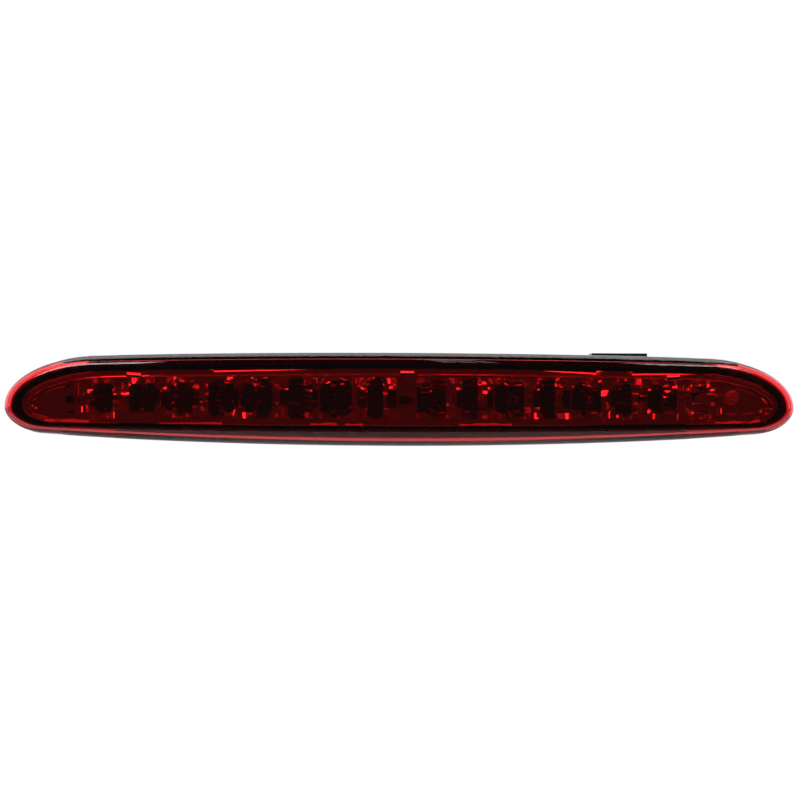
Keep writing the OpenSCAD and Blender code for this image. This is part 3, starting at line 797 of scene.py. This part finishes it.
def vary_color(tree, shader, factor, dark, light, start=0.35, end=0.65):
    ramp = tree.nodes.new("ShaderNodeValToRGB")
    ramp.color_ramp.elements[0].position = start
    ramp.color_ramp.elements[0].color = (*dark, 1)
    ramp.color_ramp.elements[1].position = end
    ramp.color_ramp.elements[1].color = (*light, 1)
    tree.links.new(factor, ramp.inputs["Fac"])
    tree.links.new(ramp.outputs["Color"], shader.inputs["Base Color"])


def vary_roughness(tree, shader, factor, low, high):
    spread = tree.nodes.new("ShaderNodeMapRange")
    spread.inputs["From Min"].default_value = 0.3
    spread.inputs["From Max"].default_value = 0.7
    spread.inputs["To Min"].default_value = low
    spread.inputs["To Max"].default_value = high
    tree.links.new(factor, spread.inputs["Value"])
    tree.links.new(spread.outputs["Result"], shader.inputs["Roughness"])


def add_bump(tree, shader, height, strength, distance_mm):
    bump = tree.nodes.new("ShaderNodeBump")
    bump.inputs["Strength"].default_value = strength
    bump.inputs["Distance"].default_value = distance_mm * MM
    tree.links.new(height, bump.inputs["Height"])
    tree.links.new(bump.outputs["Normal"], shader.inputs["Normal"])


def clear_material(name, color, ior):
    return new_material(name, color, 0.0, IOR=ior, Transmission_Weight=1.0)[0]


def moulded_plastic(name, dark, light, roughness, grain):
    """Textured moulded plastic: fine spark-eroded grain with slow variation of colour and sheen."""
    material, tree, shader = new_material(name, light, roughness)
    slow = surface_noise(tree, 60, 3)
    vary_color(tree, shader, slow, dark, light)
    vary_roughness(tree, shader, surface_noise(tree, 140, 5), roughness - 0.06, roughness + 0.08)
    add_bump(tree, shader, surface_noise(tree, grain, 3), 0.35, 0.05)
    return material


def reflector_coating():
    """Vacuum-metallised plastic, mirror-bright with the faint orange peel of its base coat."""
    material, tree, shader = new_material("reflector_metal", (0.87, 0.87, 0.88), 0.05, 1.0)
    vary_roughness(tree, shader, surface_noise(tree, 90, 4), 0.03, 0.1)
    add_bump(tree, shader, surface_noise(tree, 350, 2), 0.12, 0.05)
    return material


def plated_steel(name, dark, light, roughness):
    """Bright zinc plating with faint spangle."""
    material, tree, shader = new_material(name, light, roughness, 1.0)
    vary_color(tree, shader, surface_noise(tree, 500, 4), dark, light)
    vary_roughness(tree, shader, surface_noise(tree, 900, 3), roughness - 0.08, roughness + 0.1)
    add_bump(tree, shader, surface_noise(tree, 1500, 2), 0.15, 0.02)
    return material


def brushed_steel(name, dark, light):
    """Rolled strip steel, its grain running along the leaf."""
    material, tree, shader = new_material(name, light, 0.32, 1.0)
    grain = surface_noise(tree, 900, 4, (0.08, 1, 1))
    vary_color(tree, shader, grain, dark, light)
    vary_roughness(tree, shader, grain, 0.24, 0.42)
    add_bump(tree, shader, grain, 0.2, 0.02)
    return material


def foam(name):
    """Closed-cell foam: matt, with open cut cells."""
    material, tree, shader = new_material(name, (0.035, 0.035, 0.038), 0.95)
    cells = surface_cells(tree, 1400)
    vary_color(tree, shader, cells, (0.018, 0.018, 0.02), (0.05, 0.05, 0.054), 0.1, 0.6)
    add_bump(tree, shader, cells, 0.8, 0.25)
    return material


def rubber(name):
    material, tree, shader = new_material(name, (0.03, 0.03, 0.032), 0.7)
    vary_color(tree, shader, surface_noise(tree, 300, 4), (0.022, 0.022, 0.024), (0.045, 0.045, 0.048))
    add_bump(tree, shader, surface_noise(tree, 900, 3), 0.3, 0.04)
    return material


def sealant():
    """Black sealing compound, soft-edged and slightly wavy."""
    material, tree, shader = new_material("sealant_black", (0.012, 0.012, 0.013), 0.42)
    add_bump(tree, shader, surface_noise(tree, 250, 3), 0.5, 0.15)
    vary_roughness(tree, shader, surface_noise(tree, 200, 3), 0.35, 0.55)
    return material


def circuit_board():
    """Green solder mask over copper tracks, which show as slightly raised lighter lines."""
    material, tree, shader = new_material("board_green", (0.01, 0.12, 0.05), 0.35, Coat_Weight=0.5)
    coords = tree.nodes.new("ShaderNodeTexCoord")
    tracks = tree.nodes.new("ShaderNodeTexBrick")
    tracks.inputs["Scale"].default_value = 160
    tracks.inputs["Mortar Size"].default_value = 0.03
    turn = tree.nodes.new("ShaderNodeMapping")
    turn.inputs["Rotation"].default_value = (math.pi / 2, 0, 0)
    tree.links.new(coords.outputs["Object"], turn.inputs["Vector"])
    tree.links.new(turn.outputs["Vector"], tracks.inputs["Vector"])
    vary_color(tree, shader, tracks.outputs["Fac"], (0.008, 0.09, 0.035), (0.02, 0.2, 0.08), 0.2, 0.8)
    add_bump(tree, shader, tracks.outputs["Fac"], 0.4, 0.04)
    return material


def mottled(name, dark, light, roughness, scale):
    """Fired or pressed material with fine speckle."""
    material, tree, shader = new_material(name, light, roughness)
    vary_color(tree, shader, surface_noise(tree, scale, 5), dark, light)
    add_bump(tree, shader, surface_noise(tree, scale * 2, 3), 0.2, 0.02)
    return material


def terminal_plating():
    """Tinned brass, brighter along the drawn length."""
    material, tree, shader = new_material("terminal_brass", (0.8, 0.66, 0.36), 0.28, 1.0)
    grain = surface_noise(tree, 700, 3, (1, 0.1, 1))
    vary_color(tree, shader, grain, (0.62, 0.5, 0.26), (0.85, 0.72, 0.42))
    vary_roughness(tree, shader, grain, 0.22, 0.38)
    return material


# ---- the object --------------------------------------------------------------------------------

lens_red = clear_material("lens_red", (0.93, 0.08, 0.09), 1.49)
optic_clear = clear_material("optic_clear", (0.97, 0.97, 0.97), 1.49)
led_clear = clear_material("led_clear", (0.96, 0.95, 0.93), 1.53)
led_package = mottled("led_package", (0.62, 0.6, 0.55), (0.8, 0.78, 0.72), 0.4, 900)
reflector_metal = reflector_coating()
housing_black = moulded_plastic("housing_black", (0.016, 0.016, 0.018), (0.03, 0.03, 0.033), 0.24, 1800)
socket_black = moulded_plastic("socket_black", (0.02, 0.02, 0.022), (0.035, 0.035, 0.038), 0.38, 2500)
zinc = plated_steel("zinc_steel", (0.6, 0.62, 0.65), (0.78, 0.8, 0.84), 0.3)
screw_zinc = plated_steel("screw_zinc", (0.7, 0.74, 0.78), (0.86, 0.9, 0.94), 0.55)
spring_steel = brushed_steel("spring_steel", (0.42, 0.43, 0.45), (0.62, 0.63, 0.66))
foam_black = foam("gasket_foam")
seal_rubber = rubber("seal_rubber")
component_black = mottled("component_black", (0.014, 0.014, 0.015), (0.03, 0.03, 0.032), 0.5, 1500)
ceramic_tan = mottled("ceramic_tan", (0.42, 0.3, 0.17), (0.55, 0.41, 0.25), 0.45, 1200)
membrane_white = mottled("membrane_white", (0.68, 0.68, 0.66), (0.85, 0.85, 0.83), 0.85, 2500)

settle(make_lens(lens_red), "lamp", "lens_red", "outer_lens")
settle(make_reflector(reflector_metal), "lamp", "reflector_metal", "reflector")
settle(make_optic(optic_clear), "lamp", "optic_clear", "inner_optic")
packages, domes = make_leds(led_package, led_clear)
settle(packages, "lamp", "led_clear", "leds")
settle(domes, "lamp", "led_clear")
settle(make_gasket(foam_black), "lamp", "gasket_foam", "perimeter_gasket")
settle(make_stud_seals(foam_black), "lamp", "gasket_foam", "stud_seals")
settle(make_studs(zinc), "lamp", "zinc_steel", "mounting_studs")

soften("rear_housing", 0.25, housing_black)
soften("lens_sealant", 0, sealant())
soften("connector_socket", 0.2, socket_black)
soften("vent_cap", 0.15, housing_black)
soften("socket_seal", 0.2, seal_rubber)
soften("terminal_pins", 0.12, terminal_plating())
soften("led_board", 0.1, circuit_board())
soften("series_resistors", 0.08, component_black)
soften("protection_diode", 0.15, component_black)
soften("suppression_capacitor", 0.15, ceramic_tan)
soften("board_screws", 0.08, zinc)
soften("reflector_screw", 0.1, screw_zinc)
soften("clip_pins", 0.15, zinc)
soften("spring_clip_left", 0.12, spring_steel)
soften("spring_clip_right", 0.12, spring_steel)
soften("vent_membrane", 0.05, membrane_white)


# ---- stage -------------------------------------------------------------------------------------

def make_floor():
    """Plain floor, white to the camera and grey to reflections. It ends just in front of the lamp."""
    size = 6.0
    front = -0.17
    floor_z = -0.15
    mesh = bpy.data.meshes.new("floor")
    mesh.from_pydata([(-size, front, floor_z), (size, front, floor_z), (size, size, floor_z),
                      (-size, size, floor_z)], [], [(0, 1, 2, 3)])
    material, tree, shader = new_material("floor_white", (0.5, 0.5, 0.5), 0.8)
    path = tree.nodes.new("ShaderNodeLightPath")
    white = tree.nodes.new("ShaderNodeEmission")
    mix = tree.nodes.new("ShaderNodeMixShader")
    tree.links.new(path.outputs["Is Camera Ray"], mix.inputs[0])
    tree.links.new(shader.outputs[0], mix.inputs[1])
    tree.links.new(white.outputs[0], mix.inputs[2])
    tree.links.new(mix.outputs[0], tree.nodes["Material Output"].inputs["Surface"])
    mesh.materials.append(material)
    floor = bpy.data.objects.new("floor", mesh)
    bpy.context.scene.collection.objects.link(floor)


def make_world():
    """White to the camera. As light it is dim in front of the lamp and bright above and behind it."""
    dim, bright = 0.045, 1.2
    world = bpy.data.worlds.new("studio")
    world.use_nodes = True
    tree = world.node_tree
    tree.nodes.clear()
    out = tree.nodes.new("ShaderNodeOutputWorld")
    coords = tree.nodes.new("ShaderNodeTexCoord")
    split = tree.nodes.new("ShaderNodeSeparateXYZ")
    tree.links.new(coords.outputs["Generated"], split.inputs[0])
    ramp = tree.nodes.new("ShaderNodeMapRange")
    ramp.interpolation_type = "SMOOTHSTEP"
    ramp.inputs["From Min"].default_value = -0.25
    ramp.inputs["From Max"].default_value = 0.1
    ramp.inputs["To Min"].default_value = dim
    ramp.inputs["To Max"].default_value = bright
    tree.links.new(split.outputs["Y"], ramp.inputs["Value"])
    path = tree.nodes.new("ShaderNodeLightPath")
    seen = tree.nodes.new("ShaderNodeBackground")
    light = tree.nodes.new("ShaderNodeBackground")
    seen.inputs["Color"].default_value = (1, 1, 1, 1)
    light.inputs["Color"].default_value = (1, 1, 1, 1)
    tree.links.new(ramp.outputs["Result"], light.inputs["Strength"])
    mix = tree.nodes.new("ShaderNodeMixShader")
    tree.links.new(path.outputs["Is Camera Ray"], mix.inputs[0])
    tree.links.new(light.outputs[0], mix.inputs[1])
    tree.links.new(seen.outputs[0], mix.inputs[2])
    tree.links.new(mix.outputs[0], out.inputs["Surface"])
    bpy.context.scene.world = world


def add_area(name, place, size_x, size_y, power):
    """Rectangular area lamp aimed at the middle of the object; sizes in metres, power in watts."""
    light = bpy.data.lights.new(name, "AREA")
    light.shape = "RECTANGLE"
    light.size = size_x
    light.size_y = size_y
    light.energy = power
    lamp = bpy.data.objects.new(name, light)
    lamp.location = place
    lamp.rotation_mode = "QUATERNION"
    lamp.rotation_quaternion = (-Vector(place)).to_track_quat("-Z", "Y")
    bpy.context.scene.collection.objects.link(lamp)


def from_angles(azimuth, elevation, distance):
    """Place at angles in degrees from straight in front: azimuth to the right, elevation upwards."""
    a, e = math.radians(azimuth), math.radians(elevation)
    return Vector((math.sin(a) * math.cos(e), -math.cos(a) * math.cos(e), math.sin(e))) * distance


def make_lamps():
    """Wide soft light from above, a soft key and a fill from the sides, and three far tubes."""
    add_area("top_soft", (0.0, 0.1, 1.2), 1.6, 0.8, 8)
    add_area("key_soft", from_angles(-27, 25, 1.3), 0.35, 0.3, 2.8)
    add_area("fill_soft", from_angles(34, 28, 1.3), 0.3, 0.25, 1.6)
    for k, azimuth in enumerate((7.8, 9.4, 11.2)):
        add_area("tube_%d" % k, from_angles(azimuth, 32, 2.0), 0.04, 1.0, 0.2)


def make_camera():
    """Long lens from the front, a little to the left and a little below."""
    distance = 0.80
    yaw, rise, roll = math.radians(4.02), math.radians(-1.2), math.radians(0.09)
    target = Vector((-0.0022, -0.014, 0.0))
    back = Vector((-math.sin(yaw) * math.cos(rise), -math.cos(yaw) * math.cos(rise), math.sin(rise)))
    data = bpy.data.cameras.new("camera")
    data.lens = 74.5
    data.sensor_width = 36
    camera = bpy.data.objects.new("camera", data)
    camera.location = target + back * distance
    camera.rotation_mode = "QUATERNION"
    turn = (-back).to_track_quat("-Z", "Y").to_matrix() @ Matrix.Rotation(roll, 3, "Z")
    camera.rotation_quaternion = turn.to_quaternion()
    bpy.context.scene.collection.objects.link(camera)
    bpy.context.scene.camera = camera


make_floor()
make_world()
make_lamps()
make_camera()
scene = bpy.context.scene
scene.view_settings.view_transform = "Standard"
scene.cycles.max_bounces = 24
scene.cycles.transmission_bounces = 20
scene.cycles.glossy_bounces = 12
